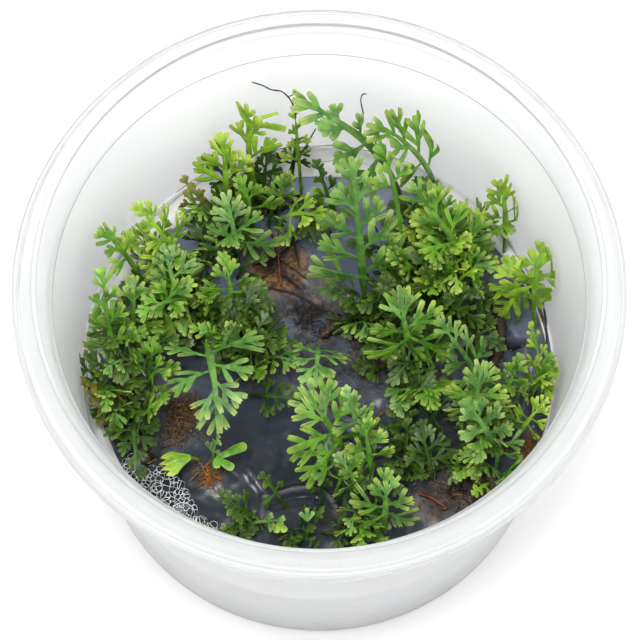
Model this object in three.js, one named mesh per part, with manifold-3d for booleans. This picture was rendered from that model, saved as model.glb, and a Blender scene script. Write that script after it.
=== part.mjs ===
// A small tropical fern grown in a tissue culture cup: an open plastic cup, a block of
// charcoal gel, creeping rhizomes and the fronds that stand on them.
// Millimetres, +Z up, origin at the centre of the cup's base.

import * as THREE from "three";
import { mergeVertices } from "three/addons/utils/BufferGeometryUtils.js";
import Module from "manifold-3d";

const wasm = await Module();
wasm.setup();

// Cup
const CUP_HEIGHT = 68;
const BASE_RADIUS = 38.3;
const WALL = 0.8;
const WALL_TAPER = 0.1; // growth of the radius for each millimetre of height
const LIP_START = 60.8; // height where the wall turns out into the sloped lip
const BEAD_RADIUS = 46.2; // centre line of the bead on top of the lip
const BEAD_WIDTH = 0.7;
const FLANGE_RADIUS = 50;
const FLANGE_HEIGHT = 64.8;
const SKIRT_DROP = 1.8;
const CUP_SEGMENTS = 40;

// Gel
const GAP = 0.3; // between neighbouring pieces
const EDGE_GAP = 1.5 * GAP; // along an edge's own slanted normal
const GEL_TOP = 26;
const GEL_WAVE = 0.45; // how far the top rises and sinks
const GEL_RINGS = [0, 12, 24, 34];
const GEL_SEGMENTS = 32;

// Rhizomes
const RHIZOME_RADIUS = 1;
const RHIZOME_SIDES = 5;
const RHIZOME_STEP = 4; // length of one stretch between section rings

// Fronds
const BLADE_THICKNESS = 0.6;
const STIPE_HALF_WIDTH = 0.6;
const PINNA_BASE_HALF = 0.5;
const PINNA_FILL = 0.38; // share of the room between two pinnae that one half of a pinna takes
const TOP_SHARE = 0.65; // length of the top pinnae against the lowest
const TIP_LOBE_SHARE = 0.6; // length of the forked tip against the longest pinna
const TIP_SPLAY = 32; // angle between the top pinnae and the rachis, in degrees
const BEND_SHARPNESS = 0.8; // how closely the arch follows the corner at the bend
const FACE_LIFT = 2; // turns the upper side of each blade towards the light
const LEAF_CLEAR = 1.1; // kept between the leaves and the wall
const ROOT_DEPTH = 0.6; // how far a stipe runs down before the gel trims it

const radians = THREE.MathUtils.degToRad;
const innerRadius = (z) => BASE_RADIUS - WALL + WALL_TAPER * z;
const gelTop = (x, y) => GEL_TOP + GEL_WAVE * Math.sin(0.17 * x + 1) * Math.cos(0.15 * y - 0.4);

const material = (color, roughness, extra = {}) =>
  new THREE.MeshStandardMaterial({ color, roughness, metalness: 0, ...extra });

const materials = {
  cup: material(0xe9ecee, 0.35, { transparent: true, opacity: 0.6 }),
  gel: material(0x2c333b, 0.15),
  rhizome: material(0x3a2a1c, 0.7),
  young: material(0xa8bf4a, 0.5),
  fresh: material(0x6f9440, 0.5),
  cool: material(0x5f7d4c, 0.5),
  deep: material(0x3b5230, 0.55),
  bronze: material(0x8a7a3c, 0.55),
};

// Each rhizome is a short route over the gel, [x, y] by [x, y].
const RHIZOMES = {
  rhizome_left: [[-34, 1], [-33, -6], [-31, -12], [-29, -17]],
  rhizome_back_left: [[-29, 12], [-24, 15], [-19, 10], [-13, 6]],
  rhizome_back: [[-20, 26], [-14, 29], [-9, 30], [-3, 32]],
  rhizome_centre: [[18, 4], [13, 7], [7, 10], [0, 6]],
  rhizome_right: [[30, 15], [31, 5], [28, -4], [31, -14]],
  rhizome_front: [[4, -17], [8, -22], [10, -29]],
};

// Each frond: tint, root on the gel [x, y], bend where the bare stipe turns into the blade
// [x, y, z], tip of the rachis [x, y, z], pairs of pinnae, length of the longest pinna, splay
// of the lowest pinnae in degrees, and how far below the bend the pinnae start.
const FRONDS = {
  big_top_leaf: ["cool", [15, 31], [11, 31, 51], [0.5, 35, 56], 4, 8.5, 75, 4],
  centre_upright: ["cool", [8, 12], [7, 16, 42], [6, 24, 52], 5, 8.5, 70, 9],
  left_star_big: ["cool", [-20, 7], [-18.5, -1, 43], [-17, -11, 42], 4, 8.5, 110, 1],
  centre_right_star: ["fresh", [17, 4], [15, -2, 42], [14, 4, 44], 3, 7.5, 120, 0],
  back_mass_right: ["fresh", [29, 15], [24, 16, 42], [18, 22, 48], 4, 7.5, 80, 4],
  right_star_outer: ["young", [37, 8], [36, 9, 42], [37, 13, 43], 3, 5.5, 130, 0],
  right_star_inner: ["young", [34, 9], [34, 9, 38], [33, 13, 39], 3, 5, 140, 0],
  pale_back_stem: ["fresh", [15, 15], [13.5, 22, 51], [11, 27, 55], 3, 5, 80, 2],
  back_right_tall: ["fresh", [22, 30], [18.5, 31, 46], [12.5, 33, 52], 4, 6, 80, 6],
  left_back_tall: ["fresh", [-28, 13], [-32, 14, 44], [-35, 15.5, 48], 3, 5.5, 65, 4],
  back_left_curl: ["young", [-23, 16], [-25, 17.5, 42], [-29, 20.5, 46], 4, 5, 85, 3],
  bronze_tip: ["bronze", [-20.5, 25.5], [-21, 26, 38], [-22.5, 28.5, 41], 3, 3, 75, 3],
  tall_left_a: ["young", [-15, 28], [-16, 28.5, 40], [-16, 32, 46], 4, 5, 75, 3],
  tall_left_b: ["young", [-10, 31], [-12, 31, 38], [-12, 36, 49], 4, 6, 75, 2],
  thin_back: ["young", [-3, 32.5], [-3.5, 34, 40], [-4, 37, 49], 3, 3, 65, 2],
  right_edge_tall: ["young", [32, 22], [32, 22, 40], [31, 24.5, 46], 4, 4.5, 85, 3],
  right_edge_small: ["young", [36, -4], [38, -2, 34], [36, 2, 39], 4, 3.5, 75, 3],
  right_low_fan: ["young", [33, -13], [34, -14, 37], [36.5, -11.5, 38.5], 3, 4.5, 130, 0],
  right_mid_big: ["cool", [28, -4], [26, -3, 38], [21.5, 0, 44], 4, 5.5, 85, 4],
  right_centre_rosette: ["fresh", [26, -10], [26, -13, 43], [26.5, -9, 44.5], 3, 6.5, 140, 0],
  right_front_pale: ["cool", [31, -15], [29, -17, 38], [26, -13, 41], 3, 5.5, 110, 0],
  right_spray: ["fresh", [31, -6], [31.5, -8, 38], [33, -4.5, 41], 3, 3.5, 100, 1],
  front_star: ["fresh", [11, -29], [11, -31, 38], [11, -26.5, 40], 4, 6, 130, 0],
  front_centre_big: ["fresh", [5, -18], [4, -18, 40], [0, -13, 42], 3, 9, 110, 1],
  front_centre_bud: ["cool", [7, -17], [6.5, -16, 44], [5, -12.5, 46], 2, 4, 80, 1],
  front_centre_right: ["fresh", [9, -23], [8.5, -20, 40], [7.5, -15.5, 42], 4, 4.5, 105, 2],
  back_mass_mid: ["fresh", [23, 20], [22, 18.5, 41], [20.5, 23, 46], 4, 5, 85, 2],
  back_left_rosette: ["cool", [-14, 22], [-14, 18.5, 35], [-15, 24, 38], 4, 6.5, 105, 0],
  centre_back_pale: ["young", [-7, 26], [-6.5, 25.5, 38], [1, 22.5, 41], 4, 4, 80, 1],
  centre_star: ["cool", [0, 5], [0, 1, 37], [-0.5, -4, 37.5], 3, 5, 120, 0],
  left_edge_a: ["fresh", [-34, -2], [-35.5, 2, 38], [-36, 8, 45], 4, 4.5, 70, 4],
  left_edge_b: ["deep", [-34, -5], [-35, -4, 36], [-38, -3, 40], 3, 3.5, 85, 1],
  left_low_a: ["bronze", [-34, -9], [-35, -9, 31], [-37.5, -8, 32], 3, 3, 80, 1],
  left_low_b: ["deep", [-31, -10], [-31.5, -11.5, 37], [-30.5, -20, 36], 4, 5, 85, 0],
  left_mid_arch: ["fresh", [-20, 12], [-22, 9, 40], [-28, 6, 41], 4, 4.5, 80, 1],
  centre_left_tuft: ["deep", [-14, 6], [-13, 7, 35], [-11.5, 10, 37], 3, 5, 95, 1],
  right_deep_a: ["cool", [18, 1], [16, -4, 34], [14, -9, 35], 3, 4.5, 85, 1],
  right_deep_b: ["deep", [19, -19], [18.5, -18, 31], [17.5, -14, 33], 3, 4.5, 90, 1],
  centre_right_low: ["deep", [12, 0], [10, -1.5, 33], [7, -2, 34], 3, 3, 85, 1],
  back_centre_thin: ["deep", [4, 26], [2, 26, 38], [0, 30, 44], 3, 3.5, 75, 2],
  back_left_small: ["fresh", [-7, 29], [-7, 28.5, 33], [-6, 31, 36], 3, 4, 90, 1],
  front_left_dark: ["deep", [-10, -27], [-12, -27, 31], [-15.5, -25.5, 33], 3, 4, 80, 1],
  front_low: ["deep", [0, -29], [3, -30, 30], [9, -31, 31], 4, 2.5, 75, 1],
  yellow_fan: ["young", [-20, -16], [-21.5, -17, 31], [-24, -18.5, 31.5], 2, 3.5, 60, 0],
  twin_leaf: ["fresh", [-17, -17], [-16.5, -17, 31], [-13, -16.5, 32.5], 2, 3, 60, 0],
  right_front_low: ["young", [29, -20], [28, -22, 31], [26.5, -23.5, 32], 2, 2.5, 85, 0],
};

const v2 = (x, y) => new THREE.Vector2(x, y);
const v3 = (p) => new THREE.Vector3(...p);

// A closed mesh as a solid that can be joined and cut.
function solidOf(geometry) {
  const g = geometry.clone();
  g.deleteAttribute("normal");
  g.deleteAttribute("uv");
  const merged = mergeVertices(g, 1e-4);
  return new wasm.Manifold(
    new wasm.Mesh({
      numProp: 3,
      vertProperties: merged.attributes.position.array,
      triVerts: new Uint32Array(merged.index.array),
    }),
  );
}

// A copy of a closed mesh with its skin moved out, which trims its neighbours to leave a gap.
function fattened(geometry) {
  const g = geometry.clone();
  g.deleteAttribute("normal");
  g.deleteAttribute("uv");
  const skin = mergeVertices(g, 1e-4);
  skin.computeVertexNormals();
  const [p, n] = [skin.attributes.position, skin.attributes.normal];
  for (let i = 0; i < p.count; i++) {
    p.setXYZ(
      i,
      p.getX(i) + EDGE_GAP * n.getX(i),
      p.getY(i) + EDGE_GAP * n.getY(i),
      p.getZ(i) + EDGE_GAP * n.getZ(i),
    );
  }
  return skin;
}

function geometryOf(solid) {
  const mesh = solid.getMesh();
  const g = new THREE.BufferGeometry();
  g.setAttribute("position", new THREE.BufferAttribute(mesh.vertProperties, 3));
  g.setIndex(new THREE.BufferAttribute(mesh.triVerts, 1));
  g.computeVertexNormals();
  return g;
}

const largestBody = (solid) =>
  solid.decompose().reduce((a, b) => (b.volume() > a.volume() ? b : a));

// Turns a lathe's own axis from +Y to +Z.
const upright = (geometry) => geometry.rotateX(Math.PI / 2);

function cupGeometry() {
  const inner = innerRadius;
  const outer = (z) => inner(z) + WALL;
  const beadIn = BEAD_RADIUS - BEAD_WIDTH / 2;
  const beadOut = BEAD_RADIUS + BEAD_WIDTH / 2;
  const profile = [
    [0, 0],
    [BASE_RADIUS - WALL, 0],
    [outer(WALL), WALL],
    [outer(LIP_START - 1), LIP_START - 1],
    [BEAD_RADIUS - 0.1, CUP_HEIGHT - 2.4],
    [BEAD_RADIUS + 0.8, CUP_HEIGHT - 2.2],
    [FLANGE_RADIUS - WALL, FLANGE_HEIGHT - WALL],
    [FLANGE_RADIUS - WALL, FLANGE_HEIGHT - SKIRT_DROP],
    [FLANGE_RADIUS, FLANGE_HEIGHT - SKIRT_DROP],
    [FLANGE_RADIUS, FLANGE_HEIGHT],
    [beadOut, CUP_HEIGHT],
    [beadIn, CUP_HEIGHT],
    [inner(LIP_START), LIP_START],
    [inner(2 * WALL), 2 * WALL],
    [inner(WALL) - WALL, WALL],
    [0, WALL],
  ];
  return upright(new THREE.LatheGeometry(profile.map(([r, z]) => v2(r, z)), CUP_SEGMENTS));
}

function gelGeometry() {
  const bottom = WALL + GAP;
  const edge = GEL_TOP - 0.3;
  const rim = innerRadius(edge) - GAP;
  const profile = [
    [0, bottom],
    [innerRadius(bottom) - GAP - WALL, bottom],
    [innerRadius(bottom + WALL) - GAP, bottom + WALL],
    [rim, edge],
    ...GEL_RINGS.toReversed().map((r) => [r, GEL_TOP]),
  ];
  const g = upright(new THREE.LatheGeometry(profile.map(([r, z]) => v2(r, z)), GEL_SEGMENTS));
  const p = g.attributes.position;
  for (let i = 0; i < p.count; i++) {
    if (p.getZ(i) < GEL_TOP - 0.01) continue;
    if (Math.hypot(p.getX(i), p.getY(i)) > rim - 0.01) continue;
    p.setZ(i, gelTop(p.getX(i), p.getY(i)));
  }
  return g;
}

function rhizomeGeometry(route) {
  const centre = (x, y) => gelTop(x, y) + GAP + RHIZOME_RADIUS + 0.15;
  const path = new THREE.CatmullRomCurve3(route.map(([x, y]) => v3([x, y, centre(x, y)])));
  const section = new THREE.Shape();
  for (let i = 0; i < RHIZOME_SIDES; i++) {
    const a = (2 * Math.PI * i) / RHIZOME_SIDES;
    const point = [RHIZOME_RADIUS * Math.cos(a), RHIZOME_RADIUS * Math.sin(a)];
    if (i) section.lineTo(...point);
    else section.moveTo(...point);
  }
  section.closePath();
  const steps = Math.round(path.getLength() / RHIZOME_STEP);
  return new THREE.ExtrudeGeometry(section, { steps, extrudePath: path });
}

// The arch of a frond, and the frame at a distance s along it: forward along the rachis,
// side to the frond's left, and face out of the upper side of the blade.
function frondCurve(root, bend, tip) {
  const start = v3([...root, gelTop(...root) - ROOT_DEPTH]);
  const middle = v3(bend);
  const end = v3(tip);
  const below = start.clone().lerp(middle, BEND_SHARPNESS);
  const above = end.clone().lerp(middle, BEND_SHARPNESS);
  const curve = new THREE.CubicBezierCurve3(start, below, above, end);
  const outward = middle.clone().sub(start.clone().add(end).multiplyScalar(0.5));
  outward.z += FACE_LIFT;
  const length = curve.getLength();
  const stipe = (length * start.distanceTo(middle)) / (start.distanceTo(middle) + middle.distanceTo(end));
  const frameAt = (s) => {
    const along = THREE.MathUtils.clamp(s / length, 0, 1);
    const forward = curve.getTangentAt(along);
    const face = outward.clone().addScaledVector(forward, -outward.dot(forward)).normalize();
    const side = face.clone().cross(forward);
    const point = curve.getPointAt(along);
    return { point, forward, side, face };
  };
  return { length, stipe, frameAt };
}

// Where the pinnae of one side leave the rachis, how long they are and how they splay.
function pinnaeOf(start, length, pairs, reach, splay, side) {
  const spacing = (length - start) / (pairs + 0.25);
  const turn = radians(splay - TIP_SPLAY) / Math.max(1, pairs - 1);
  const first = side > 0 ? 0.15 : 0.5;
  const pinnae = [];
  for (let i = 0; i < pairs; i++) {
    const climb = i / Math.max(1, pairs - 1);
    const angle = radians(splay) - i * turn;
    const span = reach * THREE.MathUtils.lerp(1, TOP_SHARE, climb);
    const room = spacing * Math.sin(angle) + 0.85 * span * turn;
    pinnae.push({ at: start + spacing * (i + first), angle, span, spread: PINNA_FILL * room });
  }
  return pinnae;
}

// The flat outline of a frond as points with s along the rachis, w to the side, and the
// place on the rachis that carries each point.
function frondOutline(start, length, pairs, reach, splay) {
  const half = STIPE_HALF_WIDTH;
  const sideOf = (side) => {
    const points = [0, 0.55 * start].map((s) => ({ s, w: side * half, at: s }));
    for (const { at, angle, span, spread } of pinnaeOf(start, length, pairs, reach, splay, side)) {
      const out = (u, v) => ({
        s: at + u * Math.cos(angle) - v * Math.sin(angle),
        w: side * (half + u * Math.sin(angle) + v * Math.cos(angle)),
        at,
      });
      points.push({ s: at - PINNA_BASE_HALF, w: side * half, at });
      points.push(out(0.86 * span, spread));
      points.push(out(0.74 * span, 0));
      points.push(out(span, -spread));
      points.push({ s: at + PINNA_BASE_HALF, w: side * half, at });
    }
    return points;
  };
  const lobe = TIP_LOBE_SHARE * reach;
  const top = [
    { s: length + 0.8 * lobe, w: 0.45 * lobe, at: length },
    { s: length + 0.6 * lobe, w: 0.1 * lobe, at: length },
    { s: length + lobe, w: -0.3 * lobe, at: length },
  ];
  return [...sideOf(1), ...top, ...sideOf(-1).reverse()];
}

function frondGeometry([, root, bend, tip, pairs, reach, splay, low]) {
  const { length, stipe, frameAt } = frondCurve(root, bend, tip);
  const outline = frondOutline(stipe - low, length, pairs, reach, splay);
  const shape = new THREE.Shape(outline.map(({ s, w }) => v2(s, w)));
  const g = new THREE.ExtrudeGeometry(shape, { depth: 1, steps: 1, bevelEnabled: false });
  const p = g.attributes.position;
  for (let i = 0; i < p.count; i++) {
    const [x, y] = [p.getX(i), p.getY(i)];
    const off = ({ s, w }) => Math.hypot(s - x, w - y);
    const near = outline.reduce((a, b) => (off(b) < off(a) ? b : a));
    const { point, forward, side, face } = frameAt(near.at);
    point.addScaledVector(forward, near.s - near.at);
    point.addScaledVector(side, near.w);
    const radius = Math.hypot(point.x, point.y);
    const limit = innerRadius(point.z) - LEAF_CLEAR;
    if (radius > limit) {
      point.x *= limit / radius;
      point.y *= limit / radius;
      point.z += radius - limit;
    }
    point.addScaledVector(face, (p.getZ(i) - 0.5) * BLADE_THICKNESS);
    p.setXYZ(i, point.x, point.y, point.z);
  }
  return g;
}

const culture = new THREE.Group();
const standing = []; // fattened copies of what is already in the cup

function add(name, geometry, finish) {
  const mesh = new THREE.Mesh(geometry, finish);
  mesh.name = name;
  culture.add(mesh);
  return geometry;
}

add("cup", cupGeometry(), materials.cup);
standing.push(solidOf(fattened(add("gel", gelGeometry(), materials.gel))));
for (const [name, route] of Object.entries(RHIZOMES)) {
  standing.push(solidOf(fattened(add(name, rhizomeGeometry(route), materials.rhizome))));
}

// A frond is trimmed where it meets the gel, a rhizome or a frond that already stands.
for (const [name, frond] of Object.entries(FRONDS)) {
  const whole = frondGeometry(frond);
  let leaf = solidOf(whole);
  for (const other of standing) leaf = leaf.subtract(other);
  add("frond_" + name, geometryOf(largestBody(leaf)), materials[frond[0]]);
  standing.push(solidOf(fattened(whole)).add(solidOf(whole)));
}

export default culture;
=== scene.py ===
# A young lobed water fern in tissue culture, standing in its dark gel in an open milky cup.
# The lengths below are millimetres; finishPiece turns them into the frame's metres.
from bisect import bisect_left
from math import cos, exp, hypot, pi, radians, sin, sqrt, tau
from random import Random

import bmesh
import bpy
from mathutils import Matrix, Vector, noise


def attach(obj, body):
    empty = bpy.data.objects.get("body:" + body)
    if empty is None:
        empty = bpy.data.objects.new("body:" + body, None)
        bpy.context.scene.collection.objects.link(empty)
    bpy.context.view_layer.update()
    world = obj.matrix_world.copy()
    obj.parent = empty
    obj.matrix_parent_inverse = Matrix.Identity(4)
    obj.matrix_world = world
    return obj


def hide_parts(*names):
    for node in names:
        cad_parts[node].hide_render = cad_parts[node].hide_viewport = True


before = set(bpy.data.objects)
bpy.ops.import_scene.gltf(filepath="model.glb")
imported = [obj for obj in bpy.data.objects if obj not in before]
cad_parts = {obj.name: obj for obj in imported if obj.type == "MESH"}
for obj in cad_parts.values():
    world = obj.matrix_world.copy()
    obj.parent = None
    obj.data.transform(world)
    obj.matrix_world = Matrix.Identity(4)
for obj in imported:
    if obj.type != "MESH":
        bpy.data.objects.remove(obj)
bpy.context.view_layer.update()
print("frame loaded,", len(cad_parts), "solids")
mm = 0.001


# small helpers

def smooth(low, high, value):
    share = max(0.0, min(1.0, (value - low) / (high - low)))
    return share * share * (3 - 2 * share)


def blend(first, second, share):
    return first + (second - first) * share


def compass(turn, z=0):
    # the way that an angle points, with a height
    return Vector((cos(turn), sin(turn), z))


def up(z):
    return Vector((0, 0, z))


def within(x, y, limit):
    # the same spot, or the nearest one inside a circle round the cup's axis
    rim = hypot(x, y)
    return (x * limit / rim, y * limit / rim) if rim > limit else (x, y)


def scatter(rng, centre, spread, limit):
    return within(rng.gauss(centre[0], spread * 0.5), rng.gauss(centre[1], spread * 0.5), limit)


def lineGap(x, y, line):
    # shortest way from (x, y) to a line of points
    best = 1e9
    here = Vector((x, y))
    for start, end in zip(line, line[1:]):
        a, b = Vector(start), Vector(end)
        share = max(0.0, min(1.0, (here - a).dot(b - a) / (b - a).length_squared))
        best = min(best, (a.lerp(b, share) - here).length)
    return best


def throughPoints(points, share):
    # a smooth curve through all of the points
    spot = share * (len(points) - 1)
    i = min(int(spot), len(points) - 2)
    t = spot - i
    p0, p1 = points[max(i - 1, 0)], points[i]
    p2, p3 = points[i + 1], points[min(i + 2, len(points) - 1)]
    return 0.5 * (2 * p1 + (p2 - p0) * t + (2 * p0 - 5 * p1 + 4 * p2 - p3) * t * t
                  + (3 * p1 - p0 - 3 * p2 + p3) * t ** 3)


# materials

def feed(sockets, values):
    # a plain value is set on the socket itself, another node's output is linked to it
    for key, value in values.items():
        if isinstance(value, bpy.types.NodeSocket):
            value.id_data.links.new(value, sockets[key])
        elif sockets[key].type == "RGBA":
            sockets[key].default_value = (*value, 1)
        else:
            sockets[key].default_value = value


def newMaterial(name, values=None):
    material = bpy.data.materials.new(name)
    material.use_nodes = True
    shader = material.node_tree.nodes["Principled BSDF"].inputs
    feed(shader, values or {})
    return material, material.node_tree, shader


def addNode(tree, kind, inputs=None, **settings):
    made = tree.nodes.new(kind)
    for key, value in settings.items():
        setattr(made, key, value)
    feed(made.inputs, inputs or {})
    return made


def noiseOf(tree, scale, detail=3, roughness=0.55, stretch=None):
    where = addNode(tree, "ShaderNodeTexCoord").outputs["Object"]
    if stretch:
        where = addNode(tree, "ShaderNodeMapping", {"Vector": where, "Scale": stretch}).outputs[0]
    inputs = {"Vector": where, "Scale": scale, "Detail": detail, "Roughness": roughness}
    return addNode(tree, "ShaderNodeTexNoise", inputs).outputs["Fac"]


def attributeOf(tree, name):
    return addNode(tree, "ShaderNodeAttribute", attribute_name=name).outputs["Fac"]


def placeOf(tree):
    # how far back and how high a point lies, and its distance from the cup's axis
    where = addNode(tree, "ShaderNodeTexCoord").outputs["Object"]
    parts = addNode(tree, "ShaderNodeSeparateXYZ", {0: where}).outputs
    flat = addNode(tree, "ShaderNodeVectorMath", {0: where, 1: (1, 1, 0)}, operation="MULTIPLY").outputs[0]
    radius = addNode(tree, "ShaderNodeVectorMath", {0: flat}, operation="LENGTH").outputs["Value"]
    return parts["Y"], parts["Z"], radius


# the next ones work in the node tree of the output they are given first

def mathOf(operation, first, second=0.0, clamp=False):
    made = addNode(first.id_data, "ShaderNodeMath", {0: first, 1: second}, operation=operation)
    made.use_clamp = clamp
    return made.outputs[0]


def times(first, second, clamp=False):
    return mathOf("MULTIPLY", first, second, clamp)


def plus(first, second, clamp=False):
    return mathOf("ADD", first, second, clamp)


def stepOf(value, low, high):
    inputs = {"Value": value, "From Min": low, "From Max": high}
    return addNode(value.id_data, "ShaderNodeMapRange", inputs, interpolation_type="SMOOTHSTEP").outputs[0]


def mixOf(share, first, second):
    inputs = {0: share, 6: first, 7: second}
    return addNode(share.id_data, "ShaderNodeMix", inputs, data_type="RGBA").outputs[2]


def bumpOf(height, strength, distance):
    inputs = {"Height": height, "Strength": strength, "Distance": distance}
    return addNode(height.id_data, "ShaderNodeBump", inputs).outputs["Normal"]


fibreColours = {
    # dark and light end of each kind of root or bark
    # painted shade: dark strands for the shade along the film's creases
    "creaseShade": ((0.030, 0.032, 0.036), (0.120, 0.125, 0.130)),
    "bark": ((0.006, 0.004, 0.003), (0.055, 0.030, 0.014)),
    "rootDark": ((0.003, 0.002, 0.002), (0.030, 0.014, 0.007)),
    "rootBrown": ((0.060, 0.028, 0.008), (0.400, 0.210, 0.062)),
    "rootOrange": ((0.160, 0.050, 0.010), (0.620, 0.270, 0.060)),
    "rootRed": ((0.060, 0.012, 0.006), (0.240, 0.060, 0.020)),
}


def fibreMaterial(name):
    dark, light = fibreColours[name]
    material, tree, shader = newMaterial(name)
    grain = stepOf(noiseOf(tree, 1300, 4, 0.65), 0.35, 0.70)
    feed(shader, {
        "Base Color": mixOf(grain, dark, light),
        "Roughness": plus(times(grain, 0.3), 0.35),
        "Normal": bumpOf(noiseOf(tree, 1800, 4, 0.7), 0.7, 0.0003),
    })
    return material


# shared building steps

def meshFrom(bm, name):
    mesh = bpy.data.meshes.new(name)
    bm.to_mesh(mesh)
    bm.free()
    return mesh


def addObject(name, data, place=(0, 0, 0), turn=(0, 0, 0)):
    made = bpy.data.objects.new(name, data)
    made.location = place
    made.rotation_euler = turn
    bpy.context.scene.collection.objects.link(made)
    return made


def finishPiece(bm, name, material, nodes=(), crisp=False):
    bmesh.ops.recalc_face_normals(bm, faces=bm.faces[:])
    if crisp:
        for edge in bm.edges:
            edge.smooth = edge.calc_face_angle(0) < 1
    bmesh.ops.scale(bm, vec=(mm, mm, mm), verts=bm.verts[:])
    for face in bm.faces:
        face.smooth = True
    mesh = meshFrom(bm, name)
    mesh.materials.append(material)
    piece = addObject(name, mesh)
    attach(piece, "root")
    if nodes:
        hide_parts(*nodes)


def bendGrid(bm, columns, rows, place):
    # a flat grid, each corner of it put in place by x across (-1 to 1) and y along (0 to 1)
    made = bmesh.ops.create_grid(bm, x_segments=columns, y_segments=rows, size=1)["verts"]
    for vert in made:
        place(vert, vert.co.x, (vert.co.y + 1) / 2)
    return made


def bendTube(bm, sides, rows, place):
    # the same grid rolled up: its two long edges meet, and its ends close on a point
    made = bendGrid(bm, sides, rows, place)
    bmesh.ops.remove_doubles(bm, verts=made, dist=1e-4)


def pour(small, bed):
    # moves a small piece into a bigger one
    mesh = meshFrom(small, "pour")
    bed.from_mesh(mesh)
    bpy.data.meshes.remove(mesh)


def cap(share):
    # rounds a stem off at both ends
    return sqrt(max(0.0, 1 - (2 * share - 1) ** 12))


def strand(bm, points, radius, sides=4, rows=8, rough=0.0, seed=0):
    # a thin round strand through the points
    step = 0.02

    def place(vert, across, along):
        here = throughPoints(points, along)
        after = throughPoints(points, min(along + step, 1))
        ahead = (after - throughPoints(points, max(along - step, 0))).normalized()
        side = ahead.cross(Vector((0.12, 0.31, 1))).normalized()
        over = side.cross(ahead)
        turn = pi * across
        lumps = noise.noise(here * 1.7 + Vector((seed, sin(turn), cos(turn))))
        thick = radius * cap(along) * (1 + rough * lumps)
        vert.co = here + side * (thick * sin(turn)) + over * (thick * cos(turn))

    bendTube(bm, sides, rows, place)


def pourStrand(bed, *shape):
    bm = bmesh.new()
    strand(bm, *shape)
    pour(bm, bed)


def pourBall(bed, place, radius, detail, flat=1):
    bm = bmesh.new()
    made = bmesh.ops.create_icosphere(bm, subdivisions=detail, radius=radius)["verts"]
    bmesh.ops.scale(bm, vec=(1, 1, flat), verts=made)
    bmesh.ops.translate(bm, vec=place, verts=made)
    pour(bm, bed)


# camera, floor and light

studio = {
    "elevation": 68.23,
    "distance": 0.685,
    "aimHeight": 0.0501,
    "lens": 232.5,
    "shift": 0.0014,
    "floorHalf": 3.0,
    "floorPaper": {"Base Color": (0.93, 0.93, 0.93), "Roughness": 0.9, "Specular IOR Level": 0.0},
    "skySides": 1.61,
    "skyTop": 0.42,
    "lamps": (
        # name, place in metres, side in metres, watts
        ("key", (-0.12, -0.14, 1.00), 0.35, 7.6),
        ("fill", (0.50, 0.10, 0.90), 0.60, 2.8),
    ),
}


def makeStudio():
    scene = bpy.context.scene
    rise, reach = radians(studio["elevation"]), studio["distance"]
    data = bpy.data.cameras.new("photoCamera")
    data.lens = studio["lens"]
    data.sensor_width = 36
    data.shift_x = studio["shift"]
    data.clip_start = 0.01
    place = (0, -cos(rise) * reach, studio["aimHeight"] + sin(rise) * reach)
    scene.camera = addObject("photoCamera", data, place, (pi / 2 - rise, 0, 0))

    bm = bmesh.new()
    bmesh.ops.create_grid(bm, x_segments=2, y_segments=2, size=studio["floorHalf"])
    mesh = meshFrom(bm, "floor")
    mesh.materials.append(newMaterial("floorPaper", studio["floorPaper"])[0])
    addObject("floor", mesh)

    scene.world = bpy.data.worlds.new("softSky")
    scene.world.use_nodes = True
    tree = scene.world.node_tree
    direction = addNode(tree, "ShaderNodeTexCoord").outputs["Generated"]
    height = addNode(tree, "ShaderNodeSeparateXYZ", {0: direction}).outputs["Z"]
    inputs = {"Value": height, "To Min": studio["skySides"], "To Max": studio["skyTop"]}
    strength = addNode(tree, "ShaderNodeMapRange", inputs).outputs["Result"]
    feed(tree.nodes["Background"].inputs, {"Color": (1, 1, 1), "Strength": strength})
    for name, place, side, watts in studio["lamps"]:
        lamp = bpy.data.lights.new(name, "AREA")
        lamp.size = side
        lamp.energy = watts
        addObject(name, lamp, place, Vector(place).to_track_quat("Z", "Y").to_euler())
    scene.view_settings.view_transform = "Standard"
    print("studio made")


# the milky cup

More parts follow.
